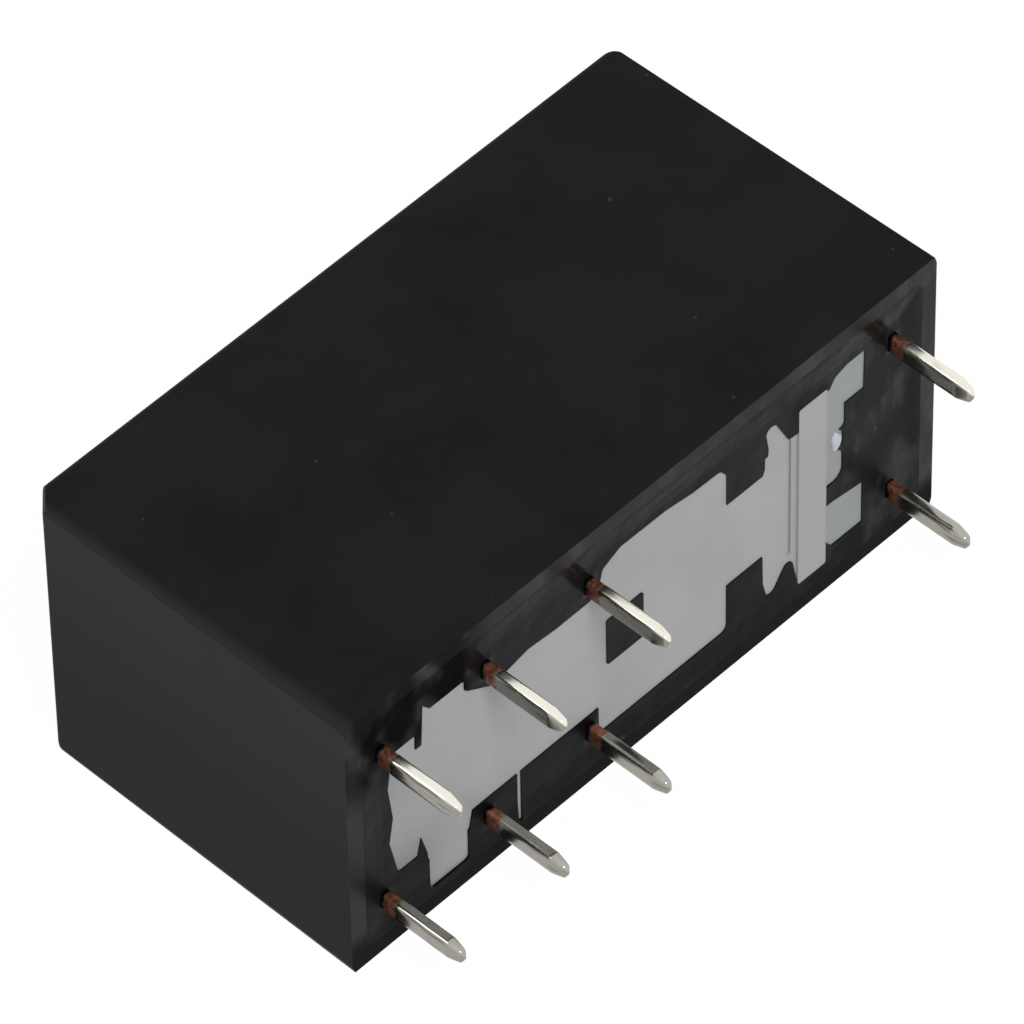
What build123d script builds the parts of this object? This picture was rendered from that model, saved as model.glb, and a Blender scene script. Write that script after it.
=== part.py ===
from build123d import *
from math import asin, atan, degrees, radians, sin, sqrt, tan
import os

# Sealed two-pole changeover power relay for printed circuit boards.
# Sizes are in millimetres. Each piece is modelled as the relay stands on a board: x runs from the case's near
# end along its length, y rises from the seating plane into the case (the pins are below it), and z is
# measured across from the middle plane. At the end every piece is laid on its long side.

# Pin pattern
PIN_PITCH = 5.0
COIL_PIN_GAP = 15.0
ROW_SPACING = 7.5
PIN_LENGTH = 3.7
PIN_THICKNESS = 0.45
PIN_WIDTH = 0.85
PIN_EDGE = 0.12
TIP_LENGTH = 0.65
TIP_THICKNESS = 0.24
TIP_WIDTH = 0.5

# Case
NEAR_MARGIN = 1.6
FAR_MARGIN = 2.2
SIDE_MARGIN = 2.55
CASE_HEIGHT = 15.0
CASE_DRAFT = 0.15
WALL = 0.7
TOP_WALL = 0.8
NEAR_CHAMFER = 0.85
NEAR_CHAMFER_ROUND = 0.25
FAR_EDGE_RADIUS = 0.8
LONG_EDGE_RADIUS = 0.33
BEVEL_LENGTH = 0.1
BEVEL_WIDTH = 0.3
INNER_RADIUS = 0.4

# Base and resin, as heights above the seating plane
RESIN_LEVEL = 0.07
PLATEAU_LEVEL = 0.12
BAR_LEVEL = 0.03
CHANNEL_LEVEL = 0.9
DECK_LEVEL = 2.2
GROOVE_DEPTH = 0.08
BASE_CLEARANCE = 0.05
SLOT_CLEARANCE = 0.03
RIB_THICKNESS = 0.18
FLOW_RADIUS = 0.25
CENTRE_WALL = 1.0
BARRIER_THICKNESS = 0.7
BARRIER_GAP = 0.375
WALL_DROP = 0.5
RAIL_LAP = 0.4
FINGER_MARGIN = 0.35
RIB_MARGIN = 0.15

# Far part of the bare plateau, as distances ahead of the coil pins and widths across
FIELD_END = 8.16
NECK_START = 8.38
LINK_START = 6.28
NECK_HALF = 2.08
LINK_LOW = 3.28
LINK_HIGH = 2.87
GROOVE_POSITION = 5.01
GROOVE_WIDTH = 0.18
GROOVE_INSET = 0.12
BAR_START = 4.62
BAR_END = 3.22
BAR_LOW = 4.93
BAR_HIGH = 3.95

# Plan points of the plateau's edge: along the case from the pins that each is named for, and across
NEAR_END_EDGE = [(1.72, -3.1), (0.75, -3.1), (0.37, -1.3), (0.57, -0.1), (0.37, 1.5), (0.62, 3.12), (1.72, 3.12)]
NEAR_FLOW_EDGE = [(3.62, 3.9), (4.22, 3.25), (5.42, 2.52), (7.12, 2.9), (8.52, 2.78), (10.12, 2.8), (10.72, 3.4)]
FIELD_FLOW_EDGE = [(0.52, 3.0), (0.74, 3.9), (1.62, 4.32), (3.82, 4.3), (5.12, 4.1), (6.5, 4.05), (6.84, 3.6)]
UPPER_FINGER_EDGE = [(-6.38, 2.1), (-6.15, 2.6), (-6.1, 3.2), (-6.26, 4.25), (-5.75, 4.2), (-5.33, 3.35),
                     (-5.08, 2.86)]
LOWER_FINGER_EDGE = [(-6.38, -2.1), (-6.35, -3.5), (-6.15, -4.33), (-5.8, -4.3), (-5.12, -3.32), (-4.85, -3.6),
                     (-4.62, -4.8)]

# Contact set
POLE_OFFSET = 3.3
LEAF_THICKNESS = 0.15
LEAF_WIDTH = 3.0
LEAF_HEADROOM = 1.1
LEAF_FOOT = 1.0
HINGE_RISE = 2.0
TONGUE_WIDTH = 1.6
CONTACT_DROP = 2.3
CONTACT_RADIUS = 1.3
CONTACT_RIM = 0.28
CONTACT_CROWN = 0.2
CROWN_RADIUS = 0.15
SHANK_RADIUS = 0.6
BACK_HEAD_RADIUS = 0.9
BACK_HEAD = 0.25
CONTACT_TRAVEL = 0.59
CONTACT_CLEARANCE = 0.02
PLATE_WIDTH = 3.4
PLATE_OVERHANG = 0.1
JOG_WIDTH = 2.0

# Actuating card
CARD_THICKNESS = 0.8
CARD_HEADROOM = 1.0
CARD_EDGE = 0.2
CARD_MARGIN = 0.85
CARD_SLOT = 0.3
CARD_SLOT_SIDE = 0.1
CARD_CLEARANCE = 0.05
FORK_LENGTH = 0.85
WINDOW_WIDTH = 4.6

# Magnet
COIL_MARGIN = 0.2
CORE_PER_COIL = 1.8 / 3.85
SPOOL_WALL = 0.55
SPOOL_CLEARANCE = 0.05
NECK_STEP = 0.3
SHOE_RADIUS = 3.1
SHOE_THICKNESS = 0.6
NEAR_FLANGE = 0.7
FAR_FLANGE = 0.8
FLANGE_MARGIN = 0.4
FLANGE_DROP = 0.4
FLANGE_LIFT = 0.3
YOKE_THICKNESS = 1.1
YOKE_LEG_WIDTH = 9.0
YOKE_WIDTH = 8.0
YOKE_END_WIDTH = 6.0
YOKE_SEAT = 0.3
YOKE_BEND = 1.2
MAGNET_GAP = 0.1
ARMATURE_THICKNESS = 1.0
ARMATURE_WIDTH = 6.0
ARMATURE_GAP = 0.03
ARMATURE_SHOULDER = 1.0
PIVOT_SETBACK = 0.97
PIVOT_LIFT = 0.25
TAB_WIDTH = 2.6
BLADE_THICKNESS = 0.15
BLADE_WIDTH = 5.0
BLADE_RISE = 1.9
BLADE_LENGTH = 3.6
BLADE_GAP = 0.17

# Coil connections
BLOCK_HEIGHT = 1.7
BLOCK_WIDTH = 2.0
BLOCK_SEAT = 0.7
BLOCK_OVERHANG = 0.4
POST_HEIGHT = 1.6
POST_WIDTH = 0.6
WIRE_RADIUS = 0.08
WIRE_TURNS = 3
WIRE_RISE = 0.7
WIRE_HOLE = 0.35
LEAD_INSET = 0.1
LEAD_SETBACK = 0.3
WIRE_GAP = 0.02

# Positions along the case
NO_X = NEAR_MARGIN
COMMON_X = NO_X + PIN_PITCH
NC_X = COMMON_X + PIN_PITCH
COIL_X = NC_X + COIL_PIN_GAP
CASE_LENGTH = COIL_X + FAR_MARGIN
CASE_WIDTH = ROW_SPACING + 2 * SIDE_MARGIN
ROW_Z = ROW_SPACING / 2
INNER_HALF = CASE_WIDTH / 2 - WALL
INNER_TOP = CASE_HEIGHT - TOP_WALL
HALF_PIN = PIN_THICKNESS / 2

# Levels, counted down from the inside of the cover and up from the deck
CARD_TOP = INNER_TOP - CARD_HEADROOM
CARD_BOTTOM = CARD_TOP - CARD_THICKNESS
CARD_MIDDLE = (CARD_TOP + CARD_BOTTOM) / 2
LEAF_TOP = INNER_TOP - LEAF_HEADROOM
WALL_LEVEL = CARD_BOTTOM - WALL_DROP
FLANGE_TOP = CARD_BOTTOM - FLANGE_DROP
CONTACT_Y = CARD_BOTTOM - CONTACT_DROP
HINGE_Y = DECK_LEVEL + HINGE_RISE
YOKE_BOTTOM = DECK_LEVEL + YOKE_SEAT
YOKE_TOP = YOKE_BOTTOM + YOKE_THICKNESS
FLANGE_BOTTOM = YOKE_TOP + FLANGE_LIFT
COIL_Y = (FLANGE_TOP + FLANGE_BOTTOM) / 2
COIL_RADIUS = (FLANGE_TOP - FLANGE_BOTTOM) / 2 - COIL_MARGIN
CORE_RADIUS = CORE_PER_COIL * COIL_RADIUS
SPOOL_RADIUS = CORE_RADIUS + SPOOL_CLEARANCE + SPOOL_WALL
NECK_RADIUS = CORE_RADIUS - NECK_STEP

# The contact set, from the springs outwards
LEAF_X = COMMON_X + HALF_PIN + LEAF_THICKNESS / 2
HEAD = CONTACT_RIM + CONTACT_CROWN
NC_PLATE_X = LEAF_X + LEAF_THICKNESS / 2 + 2 * HEAD + CONTACT_CLEARANCE
NO_PLATE_X = LEAF_X - LEAF_THICKNESS / 2 - 2 * HEAD - CONTACT_TRAVEL - CONTACT_CLEARANCE
PLATE_TOP = CONTACT_Y + CONTACT_RADIUS + PLATE_OVERHANG
SLOT_HALF = TONGUE_WIDTH / 2 + CARD_SLOT_SIDE
CARD_WIDTH = 2 * (POLE_OFFSET + SLOT_HALF + CARD_EDGE)

# The magnet, from the barrier to the armature
BARRIER_X = NC_X + HALF_PIN + BARRIER_GAP
YOKE_X = BARRIER_X + BARRIER_THICKNESS + 2 * MAGNET_GAP
SPOOL_START = YOKE_X + YOKE_THICKNESS + MAGNET_GAP
PIVOT_X = COIL_X - PIVOT_SETBACK
PIVOT_Y = YOKE_BOTTOM + PIVOT_LIFT
YOKE_END_X = PIVOT_X - ARMATURE_GAP
SPOOL_END = YOKE_END_X - SHOE_THICKNESS
BLADE_X = PIVOT_X + ARMATURE_THICKNESS + BLADE_GAP
BLADE_START = YOKE_END_X - BLADE_LENGTH

# Travel of the moving pieces
SPRING_SWING = degrees(asin(CONTACT_TRAVEL / (CONTACT_Y - HINGE_Y)))
CARD_TRAVEL = (CARD_MIDDLE - HINGE_Y) * sin(radians(SPRING_SWING))
ARMATURE_TILT = degrees(asin(CARD_TRAVEL / (CARD_MIDDLE - PIVOT_Y)))


def level(height):
    """The plane of a plan outline (x, z) at a height, facing down to the pins."""
    return Plane(origin=(0, height, 0), x_dir=(1, 0, 0), z_dir=(0, -1, 0))


def upright(plan, low, high):
    """Raise a plan outline (x, z) from one height to another."""
    return extrude(level(high) * plan, amount=high - low)


def across(side, low, high):
    """Draw a side outline (x, y) across the case from one z to another."""
    return extrude(Pos(0, 0, low) * side, amount=high - low)


def lengthways(end, low, high):
    """Draw an end outline (z, y) along the case from one x to another."""
    plane = Plane(origin=(high, 0, 0), x_dir=(0, 0, 1), z_dir=(-1, 0, 0))
    return extrude(plane * end, amount=high - low)


def block(x, y, z):
    """A box between pairs of limits."""
    corner = Box(x[1] - x[0], y[1] - y[0], z[1] - z[0], align=(Align.MIN, Align.MIN, Align.MIN))
    return Pos(x[0], y[0], z[0]) * corner


def panel(x, z, radius=0.0):
    """A rectangle in plan between pairs of limits, with rounded corners where a radius is given."""
    width = x[1] - x[0]
    height = z[1] - z[0]
    shape = RectangleRounded(width, height, radius) if radius else Rectangle(width, height)
    return Pos((x[0] + x[1]) / 2, (z[0] + z[1]) / 2) * shape


def outline(*points):
    """A closed straight-sided outline."""
    return make_face(Polyline(*points, close=True))


def both(side, low, high):
    """A pair of limits on one side of the middle plane: side is 1 or -1."""
    return (low, high) if side > 0 else (-high, -low)


def leaning(plan, rise, lean):
    """Raise a plan outline from the seating plane with its walls leaning in by the draft angle."""
    plane = Plane(origin=(0, 0, 0), x_dir=(1, 0, 0), z_dir=(0, 1, 0))
    return extrude(plane * plan, amount=rise, taper=lean)


DRAFT_ANGLE = degrees(atan(CASE_DRAFT / CASE_HEIGHT))


def corner_wedge(side):
    """What the bevel takes off the near chamfer where it meets one side of the case."""
    edge = CASE_WIDTH / 2 - CASE_DRAFT
    profile = outline((edge - BEVEL_WIDTH, 0), (edge + BEVEL_WIDTH, 2 * BEVEL_LENGTH),
                      (edge + BEVEL_WIDTH, -NEAR_CHAMFER), (edge - BEVEL_WIDTH, -NEAR_CHAMFER))
    middle = (CASE_DRAFT + NEAR_CHAMFER / 2, CASE_HEIGHT - NEAR_CHAMFER / 2, 0)
    plane = Plane(origin=middle, x_dir=(0, 0, side), z_dir=(side, side, 0))
    return extrude(plane * profile, amount=2 * NEAR_CHAMFER, both=True)


def cover_outside():
    """The case's outer form: side profile, end profile and bevelled plan, each with its draft."""
    side = outline((0, 0), (CASE_LENGTH, 0), (CASE_LENGTH - CASE_DRAFT, CASE_HEIGHT), (CASE_DRAFT, CASE_HEIGHT))
    side = fillet(side.vertices().sort_by_distance((CASE_LENGTH, CASE_HEIGHT, 0))[0], FAR_EDGE_RADIUS)
    side = chamfer(side.vertices().sort_by_distance((0, CASE_HEIGHT, 0))[0], NEAR_CHAMFER)
    side = fillet(side.vertices().sort_by_distance((0, CASE_HEIGHT, 0))[:2], NEAR_CHAMFER_ROUND)
    half = CASE_WIDTH / 2
    end = outline((-half, 0), (half, 0), (half - CASE_DRAFT, CASE_HEIGHT), (CASE_DRAFT - half, CASE_HEIGHT))
    end = fillet(end.vertices().group_by(Axis.Y)[-1], LONG_EDGE_RADIUS)
    near = -BEVEL_LENGTH
    far = CASE_LENGTH + BEVEL_LENGTH
    inner = 2 * BEVEL_LENGTH
    plan = outline(
        (near, 2 * BEVEL_WIDTH - half), (inner, -BEVEL_WIDTH - half),
        (CASE_LENGTH - inner, -BEVEL_WIDTH - half), (far, 2 * BEVEL_WIDTH - half),
        (far, half - 2 * BEVEL_WIDTH), (CASE_LENGTH - inner, half + BEVEL_WIDTH),
        (inner, half + BEVEL_WIDTH), (near, half - 2 * BEVEL_WIDTH))
    body = across(side, -CASE_WIDTH, CASE_WIDTH) & lengthways(end, -WALL, CASE_LENGTH + WALL)
    body &= leaning(plan, CASE_HEIGHT + WALL, DRAFT_ANGLE)
    return body - corner_wedge(1) - corner_wedge(-1)


def cavity():
    """The space inside the cover, narrowing by the draft towards the closed top."""
    rim = panel((WALL, CASE_LENGTH - WALL), (-INNER_HALF, INNER_HALF), INNER_RADIUS)
    half = INNER_HALF - CASE_DRAFT
    inset = WALL + CASE_DRAFT
    top = panel((inset, CASE_LENGTH - inset), (-half, half), INNER_RADIUS)
    return loft([level(0) * rim, level(INNER_TOP) * top], ruled=True)


def cover():
    """Thin-walled case, open on the pin side."""
    return cover_outside() - cavity()


def flow_patch(points, start, floor):
    """A patch of plateau whose edge is the line where the resin stopped flowing, seen from a row of pins."""
    placed = [(start + x, z) for x, z in points]
    edge = FilletPolyline(*placed, radius=FLOW_RADIUS)
    rest = Polyline(placed[-1], (placed[-1][0], floor), (placed[0][0], floor), placed[0])
    return make_face([edge, rest])


def near_plateau():
    """The grey plateau left bare round the contact pins: two fingers, the near field and a thin rib."""
    near_end = FilletPolyline(*[(NO_X + x, z) for x, z in NEAR_END_EDGE], radius=FLOW_RADIUS)
    shape = make_face([near_end, Line(near_end @ 1, near_end @ 0)])
    shape += panel((NO_X + 2.22, COMMON_X - 0.91), (FINGER_MARGIN - INNER_HALF, 3.9), 0.18)
    shape += panel((NO_X + 1.32, NC_X + 0.72), (-3.0, 2.4))
    shape += flow_patch(NEAR_FLOW_EDGE, NO_X, 1.8)
    shape += outline((NO_X + 1.97, 1.8), (NO_X + 2.52, 1.8), (NO_X + 2.52, 3.8), (NO_X + 2.1, 4.3))
    shape += outline((NO_X + 1.87, -2.3), (NO_X + 2.2, -3.7), (NO_X + 2.42, -3.7), (NO_X + 2.42, -2.3))
    shape -= outline((NO_X + 1.62, -3.4), (NO_X + 1.87, -2.3), (NO_X + 2.17, -3.4))
    shape += outline((COMMON_X - 0.98, -3.9), (COMMON_X - 0.98, -2.8), (COMMON_X - 0.63, -2.8), (COMMON_X - 0.83, -3.8))
    rib = COMMON_X + 1.58
    return shape + panel((rib - RIB_THICKNESS / 2, rib + RIB_THICKNESS / 2), (RIB_MARGIN - INNER_HALF, -2.9))


def far_plateau():
    """The bare plateau towards the coil pins: middle field, neck, far fingers and link to the bar."""
    shape = panel((NC_X + 0.47, COIL_X - FIELD_END), (-4.33, 3.2), 0.3)
    shape += flow_patch(FIELD_FLOW_EDGE, NC_X, 1.8)
    shape += panel((COIL_X - NECK_START, COIL_X - LINK_START + 0.2), (-NECK_HALF, NECK_HALF))
    shape += flow_patch(UPPER_FINGER_EDGE, COIL_X, 0.0)
    shape += flow_patch(LOWER_FINGER_EDGE, COIL_X, 0.0)
    shape += panel((COIL_X - LINK_START, COIL_X - BAR_START + 0.2), (-LINK_LOW, LINK_HIGH))
    return shape - panel((NC_X + 0.92, NC_X + 2.72), (-1.15, 1.1), 0.12)


def bar_outline():
    """The raised cross bar beside the coil pins."""
    return panel((COIL_X - BAR_START, COIL_X - BAR_END), (-BAR_LOW, BAR_HIGH), 0.1)


def block_plateau():
    """Two blocks and a lobed boss on the coil side of the cross bar."""
    root = COIL_X - BAR_END - 0.1
    shape = outline((root, -3.7), (COIL_X - 3.1, -4.1), (COIL_X - 2.85, -4.4), (COIL_X - 1.33, -4.4),
                    (COIL_X - 1.33, -2.35), (root, -2.05))
    shape += outline((root, 2.45), (COIL_X - 1.33, 2.45), (COIL_X - 1.3, 4.35), (COIL_X - 2.2, 4.35),
                     (COIL_X - 2.8, 4.15), (COIL_X - 3.08, 3.8), (root, 3.8))
    shape += panel((root - 1.0, COIL_X - 2.38), (-1.15, 0.38), 0.45)
    shape += panel((root - 1.0, COIL_X - 2.38), (0.3, 1.35), 0.35)
    return shape + panel((root - 1.0, COIL_X - 2.28), (1.3, 2.6), 0.25)


def plateau():
    """The moulded plateau under the case, which the resin leaves bare."""
    return near_plateau() + far_plateau() + bar_outline() + block_plateau()


def terminal_slots(x_positions, low, high):
    """Slots for terminals, a small clearance wider than the pins all round."""
    slots = []
    for x in x_positions:
        for z in (-ROW_Z, ROW_Z):
            half_length = HALF_PIN + SLOT_CLEARANCE
            half_width = PIN_WIDTH / 2 + SLOT_CLEARANCE
            slots.append(block((x - half_length, x + half_length), (low, high), (z - half_width, z + half_width)))
    return slots


def base():
    """Moulded base: floor, bare plateau, cross bar, deck with its walls, and seats for the magnet."""
    inset = WALL + BASE_CLEARANCE
    half = INNER_HALF - BASE_CLEARANCE
    shape = upright(panel((inset, CASE_LENGTH - inset), (-half, half), INNER_RADIUS), CHANNEL_LEVEL, DECK_LEVEL)
    shape += upright(plateau(), PLATEAU_LEVEL, CHANNEL_LEVEL)
    shape += upright(bar_outline(), BAR_LEVEL, CHANNEL_LEVEL)
    groove_x = COIL_X - GROOVE_POSITION
    groove_span = (GROOVE_INSET - LINK_LOW, LINK_HIGH - GROOVE_INSET)
    groove = panel((groove_x - GROOVE_WIDTH / 2, groove_x + GROOVE_WIDTH / 2), groove_span, 0.08)
    shape -= upright(groove, PLATEAU_LEVEL - GROOVE_DEPTH, PLATEAU_LEVEL + GROOVE_DEPTH)
    wall_half = half - 0.2
    barrier = (BARRIER_X, BARRIER_X + BARRIER_THICKNESS)
    shape += block((inset + 0.15, BARRIER_X), (DECK_LEVEL, WALL_LEVEL), (-CENTRE_WALL / 2, CENTRE_WALL / 2))
    shape += block(barrier, (DECK_LEVEL, WALL_LEVEL), (-wall_half, wall_half))
    for side in (-1, 1):
        rail = both(side, YOKE_END_WIDTH / 2 - RAIL_LAP, YOKE_WIDTH / 2)
        shape += block((YOKE_X, BLADE_START - 0.2), (DECK_LEVEL, YOKE_BOTTOM), rail)
        seat = both(side, block_inner(), block_inner() + BLOCK_WIDTH)
        shape += block((SPOOL_END - 0.6, COIL_X + 0.7), (DECK_LEVEL, DECK_LEVEL + BLOCK_SEAT), seat)
    blade_seat = (DECK_LEVEL, YOKE_BOTTOM - BLADE_THICKNESS)
    shape += block((BLADE_START, BLADE_X), blade_seat, (-BLADE_WIDTH / 2, BLADE_WIDTH / 2))
    for slot in terminal_slots((NO_X, COMMON_X, NC_X), 0, DECK_LEVEL):
        shape -= slot
    for slot in terminal_slots((COIL_X,), 0, DECK_LEVEL + BLOCK_SEAT):
        shape -= slot
    return shape


def block_inner():
    """How far from the middle plane the coil's terminal blocks start, clear of the armature."""
    return ARMATURE_WIDTH / 2 + 0.2


def sealing_resin():
    """Resin that fills the channel between base and cover up to a little below the rim."""
    limits = ((0, CASE_LENGTH), (RESIN_LEVEL, CHANNEL_LEVEL), (-CASE_WIDTH, CASE_WIDTH))
    shape = cavity() & block(*limits)
    shape -= upright(plateau(), 0, CHANNEL_LEVEL)
    for x in (NO_X, COMMON_X, NC_X, COIL_X):
        for z in (-ROW_Z, ROW_Z):
            shape -= upright(Pos(x, z) * Rectangle(PIN_THICKNESS, PIN_WIDTH), 0, CHANNEL_LEVEL)
    return shape


def tapered(half, half_tip, top):
    """Side view of a pin from its tip up to its top: tapered at the tip and straight above it."""
    shoulder = TIP_LENGTH - PIN_LENGTH
    return outline((-half_tip, -PIN_LENGTH), (half_tip, -PIN_LENGTH), (half, shoulder), (half, top),
                   (-half, top), (-half, shoulder))


def pin(x, z, top):
    """Flat pin with broken edges and a tip tapered on four sides."""
    section = Pos(x, z) * chamfer(Rectangle(PIN_THICKNESS, PIN_WIDTH).vertices(), PIN_EDGE)
    shaft = upright(section, -PIN_LENGTH, top)
    shaft &= across(Pos(x, 0) * tapered(HALF_PIN, TIP_THICKNESS / 2, top), z - PIN_WIDTH, z + PIN_WIDTH)
    return shaft & lengthways(Pos(z, 0) * tapered(PIN_WIDTH / 2, TIP_WIDTH / 2, top), x - PIN_WIDTH, x + PIN_WIDTH)


def common_terminal(side):
    """Pin with a wider head that carries the contact spring's foot."""
    head = both(side, POLE_OFFSET - LEAF_WIDTH * 0.4, POLE_OFFSET + LEAF_WIDTH * 0.4)
    shape = pin(COMMON_X, side * ROW_Z, DECK_LEVEL)
    shape += block((COMMON_X - HALF_PIN, COMMON_X + HALF_PIN), (DECK_LEVEL, HINGE_Y), head)
    return shape


def contact_plate(near, side):
    """Upright sheet that carries a fixed contact, with a hole for its shank."""
    half = PLATE_WIDTH / 2
    corner = fillet(Rectangle(PLATE_WIDTH, PLATE_TOP - DECK_LEVEL).vertices().group_by(Axis.Y)[-1], half * 0.45)
    plate = Pos(side * POLE_OFFSET, (PLATE_TOP + DECK_LEVEL) / 2) * corner
    plate -= Pos(side * POLE_OFFSET, CONTACT_Y) * Circle(SHANK_RADIUS)
    return lengthways(plate, near, near + PIN_THICKNESS)


def jog(low, high, side):
    """Strip lying on the deck between a pin and its contact plate."""
    return block((low, high), (DECK_LEVEL, DECK_LEVEL + PIN_THICKNESS),
                 both(side, ROW_Z - JOG_WIDTH / 2, ROW_Z + JOG_WIDTH / 2))


def nc_terminal(side):
    """Normally closed terminal: pin, jog towards the near end and plate behind the spring."""
    shape = pin(NC_X, side * ROW_Z, DECK_LEVEL) + contact_plate(NC_PLATE_X, side)
    return shape + jog(NC_PLATE_X, NC_X + HALF_PIN, side)


def no_terminal(side):
    """Normally open terminal: pin, jog away from the near end and plate in front of the spring."""
    shape = pin(NO_X, side * ROW_Z, DECK_LEVEL) + contact_plate(NO_PLATE_X - PIN_THICKNESS, side)
    return shape + jog(NO_X - HALF_PIN, NO_PLATE_X, side)


def crowned_head():
    """Contact head along +x from the origin: a short cylinder with a bevelled crown."""
    profile = outline((0, 0), (0, CONTACT_RADIUS), (CONTACT_RIM, CONTACT_RADIUS), (HEAD, CROWN_RADIUS), (HEAD, 0))
    return revolve(profile, axis=Axis.X)


def turned(radius, low, high):
    """A cylinder along the x axis between two positions."""
    return Pos(low, 0, 0) * Rot(0, 90, 0) * Cylinder(radius, high - low, align=(Align.CENTER, Align.CENTER, Align.MIN))


def fixed_contact(face, direction, side):
    """Rivet through a plate: flat head towards the spring, shank and back head."""
    rivet = turned(CONTACT_RADIUS, 0, HEAD) + turned(SHANK_RADIUS, -PIN_THICKNESS, 0)
    rivet += turned(BACK_HEAD_RADIUS, -PIN_THICKNESS - BACK_HEAD, -PIN_THICKNESS)
    if direction < 0:
        rivet = Rot(0, 180, 0) * rivet
    return Pos(face, CONTACT_Y, side * POLE_OFFSET) * rivet


def nc_contact(side):
    """Fixed contact that the spring touches at rest."""
    return fixed_contact(NC_PLATE_X, -1, side)


def no_contact(side):
    """Fixed contact that the spring touches when the coil is switched on."""
    return fixed_contact(NO_PLATE_X, 1, side)


def moving_contact(side):
    """Double-sided rivet in the contact spring."""
    half = LEAF_THICKNESS / 2
    rivet = Pos(half, 0, 0) * crowned_head() + Pos(-half, 0, 0) * Rot(0, 180, 0) * crowned_head()
    rivet += turned(SHANK_RADIUS, -half, half)
    return Pos(LEAF_X, CONTACT_Y, side * POLE_OFFSET) * rivet


def contact_spring(side):
    """Leaf spring: foot on the common terminal, waisted blade and a tongue that reaches into the card."""
    half = LEAF_WIDTH / 2
    foot = half * 0.8
    tongue = TONGUE_WIDTH / 2
    shoulder = CARD_BOTTOM - 0.3
    bottom = HINGE_Y - LEAF_FOOT
    blade = outline((-foot, bottom), (foot, bottom), (foot, HINGE_Y), (half, HINGE_Y + 0.6),
                    (half, shoulder - 0.5), (tongue, shoulder), (tongue, LEAF_TOP), (-tongue, LEAF_TOP),
                    (-tongue, shoulder), (-half, shoulder - 0.5), (-half, HINGE_Y + 0.6), (-foot, HINGE_Y))
    blade -= Pos(0, CONTACT_Y) * Circle(SHANK_RADIUS)
    return lengthways(Pos(side * POLE_OFFSET, 0) * blade, LEAF_X - LEAF_THICKNESS / 2, LEAF_X + LEAF_THICKNESS / 2)


def actuator_card():
    """Sliding card: slots for both springs at one end and a fork round the armature's tab at the other."""
    fork = PIVOT_X + (CARD_BOTTOM - PIVOT_Y) * tan(radians(ARMATURE_TILT)) - 0.03
    start = LEAF_X - CARD_SLOT / 2 - CARD_MARGIN
    half = CARD_WIDTH / 2
    plan = panel((start, fork + FORK_LENGTH), (-half, half), 0.5)
    tab = TAB_WIDTH / 2 + 0.1
    plan -= panel((fork, fork + 2 * FORK_LENGTH), (-tab, tab))
    for side in (-1, 1):
        slot = both(side, POLE_OFFSET - SLOT_HALF, POLE_OFFSET + SLOT_HALF)
        plan -= panel((LEAF_X - CARD_SLOT / 2, LEAF_X + CARD_SLOT / 2), slot)
    half_window = WINDOW_WIDTH / 2
    plan -= panel((LEAF_X + 2.4, BARRIER_X - 0.2), (-half_window, half_window), 0.4)
    plan -= panel((SPOOL_START + NEAR_FLANGE + 0.9, SPOOL_END - FAR_FLANGE - 1.4), (-half_window, half_window), 0.4)
    return upright(plan, CARD_BOTTOM, CARD_TOP)


def flange(low, high):
    """Bobbin flange with lands and cheeks that guide the card."""
    half = INNER_HALF - FLANGE_MARGIN
    height = FLANGE_TOP - FLANGE_BOTTOM
    face = Pos(0, COIL_Y) * RectangleRounded(2 * half, height, 0.4)
    shape = lengthways(face, low, high)
    for side in (-1, 1):
        cheek = both(side, CARD_WIDTH / 2 + CARD_CLEARANCE, half - 0.05)
        shape += block((low, high), (FLANGE_TOP - 0.6, CARD_MIDDLE), cheek)
        land = both(side, WINDOW_WIDTH / 2 + 0.3, CARD_WIDTH / 2 + CARD_CLEARANCE)
        shape += block((low, high), (FLANGE_TOP - 0.6, CARD_BOTTOM - CARD_CLEARANCE), land)
    return shape


def bobbin():
    """Moulded spool with two flanges, and two blocks that hold the coil terminals."""
    shape = at_coil(turned(SPOOL_RADIUS, SPOOL_START, SPOOL_END))
    shape += flange(SPOOL_START, SPOOL_START + NEAR_FLANGE) + flange(SPOOL_END - FAR_FLANGE, SPOOL_END)
    low = DECK_LEVEL + BLOCK_SEAT
    for side in (-1, 1):
        span = both(side, block_inner(), block_inner() + BLOCK_WIDTH)
        shape += block((SPOOL_END - FAR_FLANGE, COIL_X + BLOCK_OVERHANG), (low, low + BLOCK_HEIGHT), span)
        wire_z = lead_z(SPOOL_END - FAR_FLANGE / 2)
        wire_hole = both(side, wire_z - WIRE_HOLE, wire_z + WIRE_HOLE)
        wire_y = low + BLOCK_HEIGHT + WIRE_RISE
        wire_level = (wire_y - WIRE_HOLE, wire_y + WIRE_HOLE)
        shape -= block((SPOOL_END - FAR_FLANGE, SPOOL_END), wire_level, wire_hole)
    for slot in terminal_slots((COIL_X,), low, low + BLOCK_HEIGHT):
        shape -= slot
    return shape - at_coil(turned(CORE_RADIUS + SPOOL_CLEARANCE, SPOOL_START, SPOOL_END))


def at_coil(shape):
    """Lift a piece turned on the x axis to the coil's axis."""
    return Pos(0, COIL_Y, 0) * shape


def coil_winding():
    """Wire wound between the flanges, as one smooth body."""
    low = SPOOL_START + NEAR_FLANGE
    high = SPOOL_END - FAR_FLANGE
    return at_coil(turned(COIL_RADIUS, low, high) - turned(SPOOL_RADIUS, low, high))


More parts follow.
